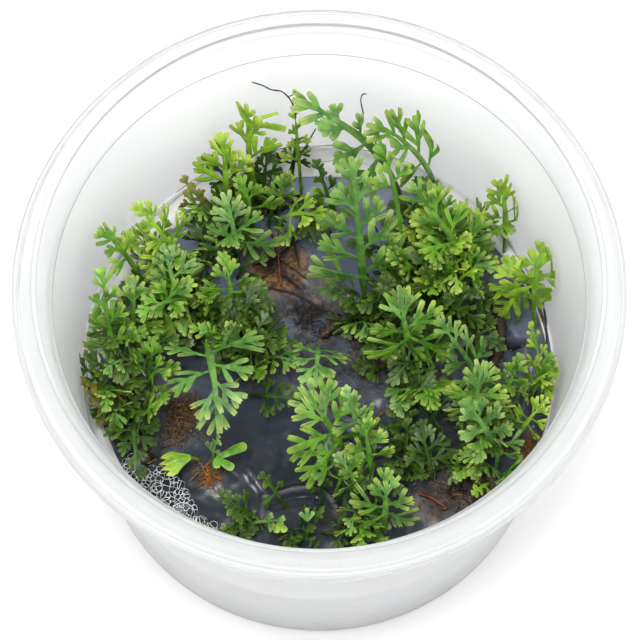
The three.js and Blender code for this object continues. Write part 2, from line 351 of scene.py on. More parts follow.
cup = {
    "steps": 192,
    "plastic": ((0.945, 0.95, 0.955), (0.97, 0.975, 0.98)),
    # painted shade of the dark gel, seen through the lower wall
    "gelShade": (0.44, 0.46, 0.49),
    # painted shade: the rim is painted darker, so that it looks as if it catches less light
    "rimPaintedShade": (0.81, 0.82, 0.82),
    # painted shade of the dark refraction lines at the plastic's corners
    "refractionLineTint": (0.10, 0.11, 0.12),
    "finish": {
        "Transmission Weight": 0.66,
        "IOR": 1.25,
        "Subsurface Weight": 0.6,
        "Subsurface Radius": (1, 1, 1),
        "Subsurface Scale": 0.003,
    },
    "lines": (
        # painted shade: thin dark lines that stand in for refraction where the plastic turns a corner;
        # height or radius, half width, strength, and 1 where it is a radius
        (0.0608, 0.00016, 0.75, 0),
        (0.04584, 0.00012, 0.35, 1),
        (0.04662, 0.00012, 0.30, 1),
        (0.04915, 0.00010, 0.16, 1),
        (0.04860, 0.00010, 0.12, 1),
        (0.04985, 0.00016, 0.16, 1),
    ),
    "profile": (
        # radius and height, up the outside, over the flange and bead, and down the inside
        (0, 0.5), (30, 0.5), (33, 0.05), (36.7, 0), (37.6, 0.15), (38.1, 0.6), (38.45, 1.5), (40.3, 20),
        (42.3, 40), (44.25, 59.5), (44.9, 62), (46.1, 65.55), (47, 65.75), (48.1, 64.95), (49.2, 64),
        (49.2, 63.1), (49.35, 63), (49.85, 63), (50, 63.15), (50, 64.65), (49.9, 64.82), (49.75, 64.72),
        (49.55, 65.15), (49.35, 65.32), (49.2, 65.18), (49, 65.62), (48.75, 65.85), (48.55, 65.72),
        (48.3, 66.2), (47.6, 67), (46.9, 67.72), (46.55, 67.95), (46.2, 68), (45.95, 67.92),
        (45.85, 67.6), (45.75, 67.2), (45.4, 66.3), (44.3, 62.9), (43.75, 61.1), (43.58, 60.9),
        (43.5, 60.4), (41.5, 40), (39.5, 20), (37.75, 2.6), (37.3, 1.5), (36.4, 0.9), (0, 0.8),
    ),
}


def cupMaterial():
    # milky plastic: the lower wall is painted grey up to a faint wavy edge, painted shade of the dark gel
    # behind it
    material, tree, shader = newMaterial("milkyCup", cup["finish"])
    _, height, radius = placeOf(tree)
    gelShadeShare = stepOf(plus(height, times(noiseOf(tree, 45, 2), 0.007)), 0.0312, 0.0292)
    plastic = mixOf(stepOf(noiseOf(tree, 40, 3), 0.3, 0.7), *cup["plastic"])
    # painted shade: the dark gel seen through the wall, painted into the plastic's colour
    shaded = mixOf(times(gelShadeShare, 0.12), plastic, cup["gelShade"])
    # painted shade: the flange and bead above the wall are painted darker, standing in for less light on
    # them
    shaded = mixOf(stepOf(height, 0.0618, 0.0626), shaded, cup["rimPaintedShade"])
    # painted shade: each line darkens the plastic where refraction at a corner would
    for middle, width, strength, byRadius in cup["lines"]:
        off = mathOf("ABSOLUTE", mathOf("SUBTRACT", radius if byRadius else height, middle))
        inside = stepOf(height, 0.0622, 0.0625) if byRadius else stepOf(radius, 0.0445, 0.0441)
        refractionLine = times(times(stepOf(off, width, width * 0.5), inside), strength)
        shaded = mixOf(refractionLine, shaded, cup["refractionLineTint"])
    feed(shader, {
        "Base Color": shaded,
        "Roughness": plus(times(noiseOf(tree, 300, 2), 0.12), 0.26),
        "Normal": bumpOf(noiseOf(tree, 90, 3, 0.5, (1, 1, 0.25)), 0.10, 0.0006),
    })
    return material


def makeCup():
    bm = bmesh.new()
    corners = [bm.verts.new((r, 0, z)) for r, z in cup["profile"]]
    edges = [bm.edges.new(pair) for pair in zip(corners, corners[1:])]
    bmesh.ops.spin(bm, geom=corners + edges, cent=(0, 0, 0), axis=(0, 0, 1), angle=tau,
                   steps=cup["steps"], use_merge=True)
    bmesh.ops.remove_doubles(bm, verts=bm.verts[:], dist=1e-3)
    finishPiece(bm, "milky_cup", cupMaterial(), ["cup"])
    print("cup made")


# the charcoal gel

gel = {
    "level": 26,
    "bottom": 1.1,
    "gap": 0.3,
    "cells": 170,
    # dark front, and a lighter bluer back: a painted reflection of the white wall
    "front": ((0.015, 0.020, 0.027), (0.036, 0.046, 0.063)),
    "rearReflection": ((0.098, 0.128, 0.180), (0.185, 0.230, 0.305)),
    "brownTints": ((0.060, 0.032, 0.014), (0.300, 0.155, 0.055)),
    # near-black: root debris and painted shade
    "dirtAndShadeTints": ((0.006, 0.005, 0.003), (0.034, 0.022, 0.011)),
    # painted highlight on the ridge crests
    "crestHighlightTint": (0.28, 0.29, 0.31),
    # painted shade in the cuts
    "cutShadeTint": (0.008, 0.009, 0.012),
    # painted light on the gel's sides against the cup
    "sideLightTint": (0.52, 0.53, 0.55),
    "ridges": (
        # line, half width, height, and how strong the painted highlight on its crest is
        (((-7.6, -22.4), (-4.4, -21.3), (-1.2, -21.0)), 0.55, 0.9, 0.45),
        (((0.2, -21.2), (1.8, -22.6), (3.0, -24.6)), 0.50, 0.9, 0.45),
        (((-36, 4), (-33, 9), (-31, 15), (-27, 21)), 0.6, 0.5, 0.15),
        (((33, 8), (35.5, 4), (36, -2), (34.5, -8)), 0.7, 0.6, 0.25),
        (((31, 2), (33.5, -1), (33, -6)), 0.5, 0.5, 0.25),
        (((-12, -18), (-9, -22), (-10, -27)), 0.6, 0.5, 0.15),
    ),
    "cuts": (
        # line, half width and depth, which also sets how much painted shade the cut takes
        (((-7.8, -23.8), (-4.2, -22.8), (-0.6, -22.6), (1.0, -24.2)), 0.8, 0.45),
        (((31.4, 5.4), (33.3, 5.0), (35.2, 5.3)), 0.6, 2.2),
        (((33.0, 5.0), (33.8, 1.5), (32.8, -2.0)), 0.35, 0.9),
        (((36.5, 6.0), (35.6, 2.0), (36.6, -3.0), (35.5, -8.0)), 0.35, 0.9),
        (((-14, 24), (-9, 21), (-3, 16)), 0.5, 1.2),
        (((5, -12), (9, -15), (15, -14)), 0.6, 0.8),
    ),
    "dips": (
        # centre, radius and depth
        ((-7.5, 20.4), 6.5, 1.6), ((14, -10), 7, 0.8), ((5, -14), 6, 0.6), ((0, 13), 5, 1.2),
    ),
    "brown": (
        # centre, radius and strength of the root-stained places
        ((-7, 19.5), 8.5, 1), ((-22.8, -7.5), 4.5, 0.55), ((-18.2, -19.2), 2.6, 0.9),
        ((19.5, -23.8), 4.5, 0.55), ((25.5, -21), 6, 0.6), ((36.5, -14), 4, 0.95), ((39, 9), 2.5, 0.7),
        ((1, 14), 6, 0.55), ((10, 4), 6, 0.4), ((28, 8), 6, 0.4), ((-26, 12), 7, 0.45),
    ),
    "dirtAndShade": (
        # centre, radius and strength of the near-black places: partly root debris, partly painted shade
        # under the fronds
        ((-23, 7), 11, 0.95), ((-3, 10.5), 7.5, 0.95), ((6, 8), 6, 0.9), ((-13, 2), 9, 0.95),
        ((-30, -8), 7, 0.85), ((-2, 3), 9, 0.9), ((10, 3), 10, 0.95), ((20, 8), 11, 0.95),
        ((24, 20), 9, 0.8), ((28, -8), 9, 0.95), ((22, -20), 9, 0.95), ((20, -3), 8, 0.98),
        ((4, -1), 8, 0.95), ((5, -26), 7, 0.8), ((-12, 28), 8, 0.8), ((-20, -18), 4, 0.8),
        ((-23, -9), 7, 0.98), ((-29, -16), 5, 0.6),
    ),
}


def gelMaterial():
    material, tree, shader = newMaterial("charcoalGel", {"Specular IOR Level": 0.36})
    back, height, radius = placeOf(tree)
    cloud = stepOf(noiseOf(tree, 45, 3, 0.5), 0.35, 0.70)
    # painted reflection: the gel is lighter and bluer towards the back, where its wet top mirrors the white
    # wall
    base = mixOf(stepOf(back, -0.020, 0.026), mixOf(cloud, *gel["front"]), mixOf(cloud, *gel["rearReflection"]))
    grain = stepOf(noiseOf(tree, 900, 4, 0.7), 0.42, 0.64)
    brown = times(attributeOf(tree, "brown"), stepOf(noiseOf(tree, 400, 5, 0.7), 0.26, 0.54))
    base = mixOf(brown, base, mixOf(grain, *gel["brownTints"]))
    # dark patches, partly root debris and partly painted shade under the foliage
    dirtAndShade = times(attributeOf(tree, "dirtAndShade"), stepOf(noiseOf(tree, 330, 5, 0.75), 0.34, 0.60))
    base = mixOf(dirtAndShade, base, mixOf(grain, *gel["dirtAndShadeTints"]))
    # painted highlight along the crests of the ridges
    base = mixOf(attributeOf(tree, "light"), base, gel["crestHighlightTint"])
    # painted shade: the cuts are darkened by their depth
    base = mixOf(attributeOf(tree, "cutShade"), base, gel["cutShadeTint"])
    # its sides, pressed against the cup, are painted whitish: painted light that brightens the lower wall
    # seen through the plastic
    sideLight = stepOf(mathOf("SUBTRACT", radius, times(height, 0.1)), 0.03700, 0.03715)
    base = mixOf(times(sideLight, stepOf(height, 0.0262, 0.0254)), base, gel["sideLightTint"])
    stainsAndShade = plus(brown, dirtAndShade, True)
    rough = plus(times(noiseOf(tree, 120, 3), 0.20), 0.12)
    feed(shader, {
        "Base Color": base,
        "Roughness": plus(rough, times(stainsAndShade, 0.35)),
        "Normal": bumpOf(plus(noiseOf(tree, 90, 2, 0.35), times(stainsAndShade, 0.8)), 0.22, 0.0006),
    })
    return material


def innerRadius(z):
    return 37.5 + 0.1 * z


def gelTop(x, y):
    return gel["level"] + 0.45 * sin(0.17 * x + 1) * cos(0.15 * y - 0.4)


def lineShare(x, y, line, width):
    return exp(-((lineGap(x, y, line) / width) ** 2))


def spotShare(x, y, centre, radius, core):
    # 1 in the core of a round place, falling to 0 at its radius
    return 1 - smooth(core * radius, radius, hypot(x - centre[0], y - centre[1]))


def strongest(x, y, places, core):
    return max(strength * spotShare(x, y, centre, radius, core) for centre, radius, strength in places)


def gelSkin(x, y):
    # height, and how brown the gel is there, how strong the painted highlight on its crests and the painted
    # shade in its cuts are, and how dark its patches of dirt and painted shade are
    z = gelTop(x, y)
    broad, fine = noise.noise(Vector((x * 0.20, y * 0.20, 3))), noise.noise(Vector((x * 0.7, y * 0.7, 7)))
    z += 0.30 * broad + 0.09 * fine
    light = cutShade = 0.0
    for line, width, height, crestGlint in gel["ridges"]:
        bump = lineShare(x, y, line, width)
        z += height * bump
        light = max(light, crestGlint * bump ** 3)
    for line, width, depth in gel["cuts"]:
        cut = lineShare(x, y, line, width)
        z -= depth * cut
        cutShade = max(cutShade, 0.5 * depth * cut ** 2)
    for centre, radius, depth in gel["dips"]:
        z -= depth * spotShare(x, y, centre, radius, 0)
    z += 1.1 * smooth(37.6, 40.0, hypot(x, y)) ** 2
    return z, strongest(x, y, gel["brown"], 0.35), light, cutShade, strongest(x, y, gel["dirtAndShade"], 0.4)


def makeGel():
    bm = bmesh.new()
    layers = [bm.verts.layers.float.new(key) for key in ("brown", "light", "cutShade", "dirtAndShade")]
    edgeRadius = innerRadius(gel["level"]) - gel["gap"]

    def place(vert, across, along):
        # the square grid is rounded to the cup's circle
        a, b = across, 2 * along - 1
        x = edgeRadius * a * sqrt(1 - b * b / 2)
        y = edgeRadius * b * sqrt(1 - a * a / 2)
        z, *marks = gelSkin(x, y)
        vert.co = (x, y, z)
        for layer, mark in zip(layers, marks):
            vert[layer] = mark

    bendGrid(bm, gel["cells"], gel["cells"], place)
    rim = [edge for edge in bm.edges if edge.is_boundary]
    for level in (20, 10, gel["bottom"]):
        made = bmesh.ops.extrude_edge_only(bm, edges=rim)["geom"]
        rim = [item for item in made if isinstance(item, bmesh.types.BMEdge)]
        for vert in (item for item in made if isinstance(item, bmesh.types.BMVert)):
            flat = Vector((vert.co.x, vert.co.y, 0)).normalized() * (innerRadius(level) - gel["gap"])
            vert.co = (flat.x, flat.y, level)
    bmesh.ops.holes_fill(bm, edges=rim, sides=0)
    finishPiece(bm, "charcoal_gel", gelMaterial(), ["gel"])
    print("gel made")


# clear liquid, bubbles and foam at the gel's edge

wet = {
    "filmSteps": 180,
    "filmInner": 37.7,
    "filmClimb": 2.1,
    "filmSection": (
        # share of the way up the wall and how deep under the film, once round its section
        (0, 0), (0.3, 0), (0.6, 0), (0.85, 0), (1, 0), (1, 3.0), (0, 0.9), (0, 0),
    ),
    # the clear liquid's edge is painted near-opaque white: a painted reflection of the bright wall
    "film": {"Base Color": (0.97, 0.97, 0.97), "Transmission Weight": 0.10, "Roughness": 0.12, "IOR": 1.33},
    "clear": {"Base Color": (0.97, 0.985, 1.0), "Transmission Weight": 1.0, "Roughness": 0.03, "IOR": 1.33},
    "bubbleSeed": 5,
    "places": (
        # centre of the group in degrees round the cup, its spread, how many,
        # their least and greatest radius, and how far in they lie
        (222, 13, 40, 0.12, 0.50, 5.0),
        (155, 9, 14, 0.25, 0.7, 2.5),
        (112, 18, 18, 0.20, 0.5, 2.0),
        (320, 12, 14, 0.20, 0.5, 2.0),
    ),
    "foam": (
        # from and to in degrees round the cup, how many cells, and how far in they reach
        (206, 234, 260, 8.4),
        (229, 250, 170, 6.6),
    ),
    "foamCell": 1.0,
    "strandRadius": (0.014, 0.048),
    "dotRadius": (0.05, 0.11),
    "foamEdge": 39.4,
    "foamLift": 0.45,
    # bubbles on their own: place and radius
    "single": ((-23.0, -26.0, 2.0), (-27.4, -21.0, 0.9), (-32.2, 15.4, 0.8), (-31.2, 14.3, 0.6)),
    "lines": (
        # thin dark lines in the film, painted shade along its creases: from and to in degrees, how far up
        # the film, and half width
        (62, 128, 0.95, 0.07),
        (70, 104, 0.45, 0.06),
        (118, 152, 0.75, 0.07),
        (158, 186, 0.55, 0.08),
        (196, 214, 0.80, 0.06),
        (20, 44, 0.70, 0.06),
    ),
}


def filmSpot(turn, share):
    # a point on the film at an angle, by its share of the way from the gel up the wall
    around = compass(turn)
    climb = wet["filmClimb"] + 1.6 * max(0, sin(turn)) + 0.6 * noise.noise(around * 4 + up(9))
    wall = innerRadius(27 + climb) - 0.06
    right = max(0, cos(turn + 0.3))
    climb *= 1 - 0.6 * right
    inner = wet["filmInner"] + 0.9 * (1 - right) * noise.noise(around * 3 + up(4))
    inner += 1.6 * right - 1.3 * (1 - right) * max(0, sin(turn))
    r = blend(inner, wall, 1 - (1 - share) ** 1.6)
    spot = around * r
    return spot + up(gelTop(*spot.xy) + 0.6 + climb * share ** 2.2)


def makeFilm(material):
    section = wet["filmSection"]

    def place(vert, across, along):
        share, depth = section[round((across + 1) / 2 * (len(section) - 1))]
        vert.co = filmSpot(tau * along, share) - up(depth)

    bm = bmesh.new()
    bendTube(bm, len(section) - 1, wet["filmSteps"], place)
    finishPiece(bm, "liquid_edge", material)

    # thin dark strands in the film: painted shade along its creases
    bm = bmesh.new()
    for begin, end, share, radius in wet["lines"]:
        count = max(6, (end - begin) // 3)
        points = []
        for i in range(count + 1):
            turn = radians(blend(begin, end, i / count))
            waved = share + 0.22 * noise.noise(Vector((turn * 6, share * 9, 2)))
            points.append(filmSpot(turn, max(0.05, min(1, waved))) + up(0.08))
        strand(bm, points, radius, 5, count * 4)
    finishPiece(bm, "film_creases", fibreMaterial("creaseShade"))


def foamCell(middles, middle, reach):
    # the corners of one cell of foam, cut halfway to each neighbour
    corners = [middle + compass(tau * i / 9).xy * reach for i in range(9)]
    for other in middles:
        away = other - middle
        if other is middle or away.length > 2 * reach or away.length < 0.05:
            continue
        half = (middle + other) / 2
        kept = []
        for first, second in zip(corners, corners[1:] + corners[:1]):
            before, after = (first - half).dot(away), (second - half).dot(away)
            if before <= 0:
                kept.append(first)
            if before * after < 0:
                kept.append(first.lerp(second, before / (before - after)))
        corners = kept
    return corners


def makeFoam(rings, rng, begin, end, count, reach):
    middles = []
    for _ in range(count):
        share = rng.random()
        turn = radians(blend(begin, end, share))
        r = wet["foamEdge"] - rng.random() * reach * (0.6 + 0.4 * sin(pi * share))
        middles.append(Vector((r * cos(turn), r * sin(turn))))
    lift = wet["foamLift"]
    for middle in middles:
        corners = foamCell(middles, middle, wet["foamCell"] * rng.uniform(0.5, 1.2))
        if len(corners) < 3:
            continue
        # each cell's wall is a thin white strand and its dots are white glints: painted reflection on the
        # clear foam
        loop = [Vector((*middle.lerp(corner, 0.97), gelSkin(*corner)[0] + lift)) for corner in corners]
        radius = rng.uniform(*wet["strandRadius"])
        pourStrand(rings, loop + loop[:1], radius, 4, 3 * len(loop), 0.6, rng.random() * 9)
        for _ in range(2):
            dot = middle.lerp(rng.choice(corners), rng.uniform(0.6, 1.1))
            pourBall(rings, (dot.x, dot.y, gelSkin(*dot)[0] + lift), rng.uniform(*wet["dotRadius"]), 1)


def makeBubbles(material):
    rng = Random(wet["bubbleSeed"])
    bed, rings = bmesh.new(), bmesh.new()
    spots = []
    for centre, spread, count, small, big, reach in wet["places"]:
        for _ in range(count):
            turn = radians(rng.gauss(centre, spread * 0.6))
            radius = small + (big - small) * rng.random() ** 2
            r = innerRadius(27) - radius - rng.random() ** 1.3 * reach
            spots.append((r * cos(turn), r * sin(turn), radius))
    for row in wet["foam"]:
        makeFoam(rings, rng, *row)
    for x, y, radius in (*spots, *wet["single"]):
        z = gelSkin(x, y)[0] + 0.35 * radius
        pourBall(bed, (x, y, z), radius, 3 if radius > 1 else 2, 0.75)
        # a white ring round each bubble: painted reflection on its rim
        turns = [tau * i / 12 for i in range(13)]
        circle = [Vector((x + radius * cos(a), y + radius * sin(a), z + 0.1 * radius)) for a in turns]
        pourStrand(rings, circle, 0.03 + 0.035 * radius, 4, 24)
    finishPiece(bed, "bubbles", newMaterial("clearBubbles", wet["clear"])[0])
    finishPiece(rings, "bubble_rims", material)


def makeWet():
    # painted reflection: the liquid edge, the bubbles' rims and the foam's walls are painted white
    film, tree, shader = newMaterial("whiteFilmReflection", wet["film"])
    feed(shader, {"Normal": bumpOf(noiseOf(tree, 260, 3), 0.5, 0.0006)})
    makeFilm(film)
    makeBubbles(film)
    print("liquid edge and bubbles made")


# fronds

leafTints = {
    # dark and light green of the blade, then the pale colour of its edges and tips, and the tips' share
    "young": ((0.075, 0.200, 0.005), (0.230, 0.410, 0.020), (0.600, 0.640, 0.130), 0.85),
    "fresh": ((0.026, 0.110, 0.004), (0.110, 0.285, 0.015), (0.480, 0.570, 0.110), 0.80),
    "cool": ((0.032, 0.120, 0.014), (0.125, 0.285, 0.048), (0.480, 0.570, 0.170), 0.75),
    # painted shade: a darkened copy of the green, for fronds low in the growth where shade falls
    "deep": ((0.009, 0.036, 0.002), (0.036, 0.100, 0.006), (0.200, 0.270, 0.040), 0.55),
    "bronze": ((0.070, 0.105, 0.008), (0.200, 0.220, 0.022), (0.300, 0.165, 0.035), 0.85),
}

leafFinish = {
    "Specular IOR Level": 0.32,
    "Subsurface Weight": 0.12,
    "Subsurface Radius": (0.6, 1.0, 0.25),
    "Subsurface Scale": 0.0005,
}


def leafMaterial(tint):
    dark, light, tip, share = leafTints[tint]
    material, tree, shader = newMaterial("leaf" + tint.capitalize(), leafFinish)
    mottle = stepOf(noiseOf(tree, 420, 4, 0.6), 0.36, 0.66)
    blade = mixOf(plus(mottle, attributeOf(tree, "tone"), True), dark, light)
    blotch = stepOf(noiseOf(tree, 900, 3), 0.25, 0.75)
    edge = times(attributeOf(tree, "pale"), plus(times(blotch, 0.6), 0.5))
    coloured = mixOf(times(edge, share, True), blade, tip)
    vein = attributeOf(tree, "vein")
    rough = stepOf(noiseOf(tree, 700, 2), 0.2, 0.8)
    feed(shader, {
        "Base Color": mixOf(times(vein, 0.30), coloured, [min(1, c * 1.25 + 0.03) for c in light]),
        "Roughness": plus(times(rough, 0.24), 0.26),
        "Normal": bumpOf(plus(noiseOf(tree, 2600, 3), times(vein, -0.8)), 0.30, 0.00012),
    })
    return material


frondShape = {
    "rootDepth": 0.6,
    "bendSharpness": 0.8,
    "faceLift": 2,
    "topShare": 0.65,
    "tipLobeShare": 0.6,
    "tipSplay": 32,
    "wallGap": 1.0,
    "bladeThickness": 0.12,
    "curveSteps": 64,
    "plain": [1.0, 1.0, 0, 1.0],
    "cells": (8, 6),
}

fronds = {
    # tint, root, bend, tip, pairs of pinnae, reach of the longest, splay at the base, how low they start;
    # then, where they differ, width of the lobes, length of the pinnae, lower pairs that are missing,
    # and length on the far side
    "big_top_leaf": ["cool", [15, 31], [11, 31, 51], [0.5, 35, 56], 4, 8.5, 75, 4, 1.5, 1.05, 0, 0.55],
    "centre_upright": ["cool", [8, 12], [7, 16, 42], [6, 24, 52], 5, 8.5, 70, 9, 1.2],
    "left_star_big": ["cool", [-20, 7], [-18.5, -1, 43], [-17, -11, 42], 4, 8.5, 110, 1, 1.12],
    "centre_right_star": ["fresh", [17, 4], [15, -2, 42], [14, 4, 44], 3, 7.5, 120, 0],
    "back_mass_right": ["fresh", [29, 15], [24, 16, 42], [18, 22, 48], 4, 7.5, 80, 4],
    "right_star_outer": ["young", [37, 8], [36, 9, 42], [37, 13, 43], 3, 5.5, 130, 0, 1.25, 1.25],
    "right_star_inner": ["young", [34, 9], [34, 9, 38], [33, 13, 39], 3, 5, 140, 0, 1.2, 1.15],
    "pale_back_stem": ["fresh", [15, 15], [13.5, 22, 51], [11, 27, 55], 3, 5, 80, 2, 1.1, 1, 1],
    "back_right_tall": ["fresh", [22, 30], [18.5, 31, 46], [12.5, 33, 52], 4, 6, 80, 6, 1.15, 1.3],
    "left_back_tall": ["fresh", [-28, 13], [-32, 14, 44], [-35, 15.5, 48], 3, 5.5, 65, 4, 1.05, 1, 1],
    "back_left_curl": ["young", [-23, 16], [-25, 17.5, 42], [-29, 20.5, 46], 4, 5, 85, 3, 0.95, 1.15],
    "bronze_tip": ["bronze", [-20.5, 25.5], [-21, 26, 38], [-22.5, 28.5, 41], 3, 3, 75, 3],
    "tall_left_a": ["young", [-15, 28], [-16, 28.5, 40], [-16, 32, 46], 4, 5, 75, 3, 1.1, 1.25, 1],
    "tall_left_b": ["young", [-10, 31], [-12, 31, 38], [-12, 36, 49], 4, 6, 75, 2, 1.1, 1.25, 1],
    "thin_back": ["young", [-3, 32.5], [-3.5, 34, 40], [-4, 37, 49], 3, 3, 65, 2, 0.8],
    "right_edge_tall": ["young", [32, 22], [32, 22, 40], [31, 24.5, 46], 4, 4.5, 85, 3, 1.1, 1.4],
    "right_edge_small": ["young", [36, -4], [38, -2, 34], [36, 2, 39], 4, 3.5, 75, 3, 0.75],
    "right_low_fan": ["young", [33, -13], [34, -14, 37], [36.5, -11.5, 38.5], 3, 4.5, 130, 0, 0.75],
    "right_mid_big": ["cool", [28, -4], [26, -3, 38], [21.5, 0, 44], 4, 5.5, 85, 4],
    "right_centre_rosette": ["fresh", [26, -10], [26, -13, 43], [26.5, -9, 44.5], 3, 6.5, 140, 0],
    "right_front_pale": ["cool", [31, -15], [29, -17, 38], [26, -13, 41], 3, 5.5, 110, 0, 1.3],
    "right_spray": ["fresh", [31, -6], [31.5, -8, 38], [33, -4.5, 41], 3, 3.5, 100, 1],
    "front_star": ["fresh", [11, -29], [11, -31, 38], [11, -26.5, 40], 4, 6, 130, 0],
    "front_centre_big": ["fresh", [5, -18], [4, -18, 40], [0, -13, 42], 3, 9, 110, 1, 1.2],
    "front_centre_bud": ["cool", [7, -17], [6.5, -16, 44], [5, -12.5, 46], 2, 4, 80, 1],
    "front_centre_right": ["fresh", [9, -23], [8.5, -20, 40], [7.5, -15.5, 42], 4, 4.5, 105, 2],
    "back_mass_mid": ["fresh", [23, 20], [22, 18.5, 41], [20.5, 23, 46], 4, 5, 85, 2],
    "back_left_rosette": ["cool", [-14, 22], [-14, 18.5, 35], [-15, 24, 38], 4, 6.5, 105, 0],
    "centre_back_pale": ["young", [-7, 26], [-6.5, 25.5, 38], [1, 22.5, 41], 4, 4, 80, 1],
    "centre_star": ["cool", [0, 5], [0, 1, 37], [-0.5, -4, 37.5], 3, 5, 120, 0, 1, 1.15],
    "left_edge_a": ["fresh", [-34, -2], [-35.5, 2, 38], [-36, 8, 45], 4, 4.5, 70, 4, 1, 1.15],
    "left_edge_b": ["deep", [-34, -5], [-35, -4, 36], [-38, -3, 40], 3, 3.5, 85, 1],
    "left_low_a": ["bronze", [-34, -9], [-35, -9, 31], [-37.5, -8, 32], 3, 3, 80, 1],
    "left_low_b": ["deep", [-31, -10], [-31.5, -11.5, 37], [-30.5, -20, 36], 4, 5, 85, 0, 1, 0.8],
    "left_mid_arch": ["fresh", [-20, 12], [-22, 9, 40], [-28, 6, 41], 4, 4.5, 80, 1],
    "centre_left_tuft": ["deep", [-14, 6], [-13, 7, 35], [-11.5, 10, 37], 3, 5, 95, 1],
    "right_deep_a": ["cool", [18, 1], [16, -4, 34], [14, -9, 35], 3, 4.5, 85, 1],
    "right_deep_b": ["deep", [19, -19], [18.5, -18, 31], [17.5, -14, 33], 3, 4.5, 90, 1],
    "centre_right_low": ["deep", [12, 0], [10, -1.5, 33], [7, -2, 34], 3, 3, 85, 1],
    "back_centre_thin": ["deep", [4, 26], [2, 26, 38], [0, 30, 44], 3, 3.5, 75, 2],
    "back_left_small": ["fresh", [-7, 29], [-7, 28.5, 33], [-6, 31, 36], 3, 4, 90, 1],
    "front_left_dark": ["deep", [-10, -27], [-12, -27, 31], [-15.5, -25.5, 33], 3, 4, 80, 1, 0.9, 0.85],
    "front_low": ["deep", [0, -29], [3, -30, 30], [9, -31, 31], 4, 2.5, 75, 1, 1.2, 1.1],
    # young leaves with smooth lobes: tint, root, top of the stem, and for each lobe its heading and rise
    # in degrees, length, half width at base and end, teeth, notch, bow, and how far under the top it starts
    "yellow_fan": ["young", [-20, -16], [-21.6, -17.2, 31], (
        (197, 2, 5.6, 0.3, 2.5, 4, 0.24, 0.05, 0),)],
    "twin_leaf": ["fresh", [-17, -17], [-17.2, -17.6, 31.4], (
        (22, 10, 5.4, 0.35, 0.88, 1, 0, 0.35, 0),
        (-38, 4, 3.4, 0.35, 0.8, 1, 0, 0.15, 0),
        (-95, 0, 1.8, 0.45, 0.7, 1, 0, 0.1, 0))],
    "right_front_low": ["young", [29, -20], [28, -22, 31], [26.5, -23.5, 32], 2, 2.5, 85, 0],
}

smallFronds = {
    # the same for leaves that have no solid of their own
    "centre_right_upright": ["fresh", [11, 13], [11, 15, 36], [12, 17, 41], 3, 3.5, 80, 2],
    "left_mid_fan": ["fresh", [-25.5, 13], [-26.5, 15, 37], [-28, 18, 39], 3, 4, 100, 1],
    "front_dark_curl": ["deep", [-5, -25], [-7, -23.5, 30], [-9, -21.5, 32], 2, 2.6, 95, 0],
    "front_dark_stem": ["deep", [0.5, -24], [0.5, -23, 31], [0, -20.5, 35], 2, 2, 70, 1],
    "pale_shoot": ["cool", [-18, -18], [-18, -17, 33], [-17, -16, 37], 2, 2.2, 60, 1],
    "centre_low_dark": ["deep", [-12, -4], [-9, -6, 31], [-5, -7, 32], 3, 3.5, 85, 1],
    "curled_tip": ["young", [-12, 35.5], [-11.6, 35.8, 49.5], (
        (14, 38, 4.8, 0.46, 0.2, 1, 0, 0.75, 0),
        (-8, 12, 6, 0.3, 0.62, 3, 0.14, 0.5, 0.5))],
    "front_heart": ["young", [-6, -27], [-6.6, -28.6, 30], (
        (-62, 0, 1.9, 0.3, 0.62, 1, 0, 0.1, 0),
        (-118, 0, 1.9, 0.3, 0.62, 1, 0, 0.1, 0))],
    "front_small_pale": ["cool", [-1, -28], [-2, -28.6, 31], (
        (130, 20, 1.9, 0.18, 0.36, 1, 0, 0.1, 0),
        (88, 26, 2.2, 0.18, 0.36, 1, 0, 0.1, 0),
        (48, 20, 1.9, 0.18, 0.36, 1, 0, 0.1, 0))],
}


class FrondLine:
    # the bent midline of a frond, measured along its length
    def __init__(self, root, bend, tip):
        start = Vector((*root, gelTop(*root) - frondShape["rootDepth"]))
        bend, tip = Vector(bend), Vector(tip)
        near, far = (end.lerp(bend, frondShape["bendSharpness"]) for end in (start, tip))
        self.outward = bend - (start + tip) / 2 + up(frondShape["faceLift"])
        self.points, self.lengths = [], [0.0]
        for step in range(frondShape["curveSteps"] + 1):
            t = step / frondShape["curveSteps"]
            u = 1 - t
            self.points.append(start * u ** 3 + near * 3 * u * u * t + far * 3 * u * t * t + tip * t ** 3)
            if step:
                self.lengths.append(self.lengths[-1] + (self.points[-1] - self.points[-2]).length)
        self.length = self.lengths[-1]
        first, second = (bend - start).length, (tip - bend).length
        self.stipe = self.length * first / (first + second)

    def at(self, s):
        # point, forward, face and side of the midline at a length
        points, lengths = self.points, self.lengths
        index = min(bisect_left(lengths, s, 1), len(lengths) - 1) - 1
        share = (s - lengths[index]) / (lengths[index + 1] - lengths[index])
        here = points[index] + (points[index + 1] - points[index]) * share
        forward = (points[min(index + 2, len(points) - 1)] - points[max(index - 1, 0)]).normalized()
        face = (self.outward - forward * self.outward.dot(forward)).normalized()
        return here, forward, face, face.cross(forward)


def keepInside(point):
    # keeps a point off the cup's wall
    point = point.copy()
    rim = hypot(point.x, point.y)
    limit = innerRadius(point.z) - frondShape["wallGap"]
    if rim > limit:
        point.x *= limit / rim
        point.y *= limit / rim
        point.z += rim - limit
    return point


